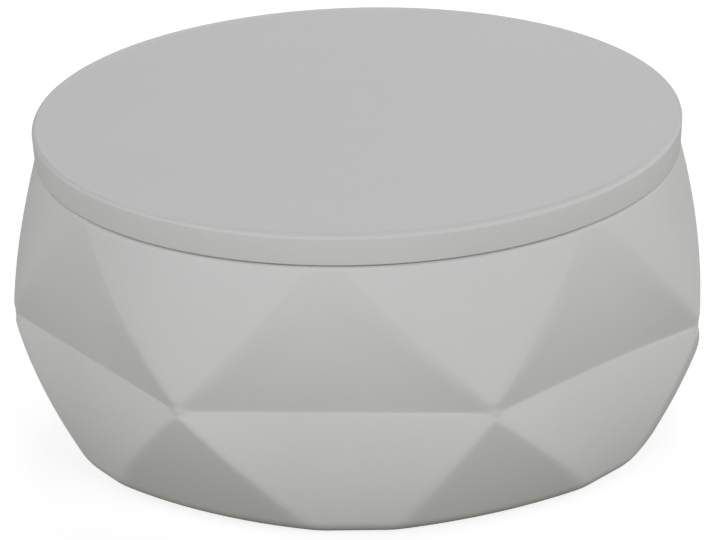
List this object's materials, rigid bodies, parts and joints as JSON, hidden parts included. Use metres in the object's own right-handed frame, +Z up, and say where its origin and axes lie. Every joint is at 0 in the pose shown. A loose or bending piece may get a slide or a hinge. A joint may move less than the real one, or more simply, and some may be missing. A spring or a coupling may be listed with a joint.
{
  "type": "storage jar",
  "caption": "Low round lidded storage jar with a faceted bowl of dented diamonds and a flat lift-off lid, for small items or dry goods.",
  "frame": {"origin": "on the jar's axis, on the surface that it stands on", "axes": "+Z up along the jar's axis; one of the seven dents faces -Y; +X to the right of someone who faces that dent"},
  "size_m": [0.1274, 0.1261, 0.0595],
  "materials": {
    "jar_matt_grey": "cast stone resin with a smooth matt light grey coat",
    "lid_matt_grey": "cast stone resin with a smooth matt light grey coat",
    "seal_white": "soft milky silicone",
    "pad_grey": "thin dark foam rubber, matt"
  },
  "bodies": {
    "jar": {"jar_body": "jar_matt_grey", "base_pad": "pad_grey"},
    "lid": {"lid": "lid_matt_grey", "lid_seal": "seal_white"}
  },
  "joints": [
    {"name": "lid_lift", "type": "slide", "parent": "jar", "child": "lid", "axis": [0, 0, 1], "range_m": [0, 0.08]}
  ]
}
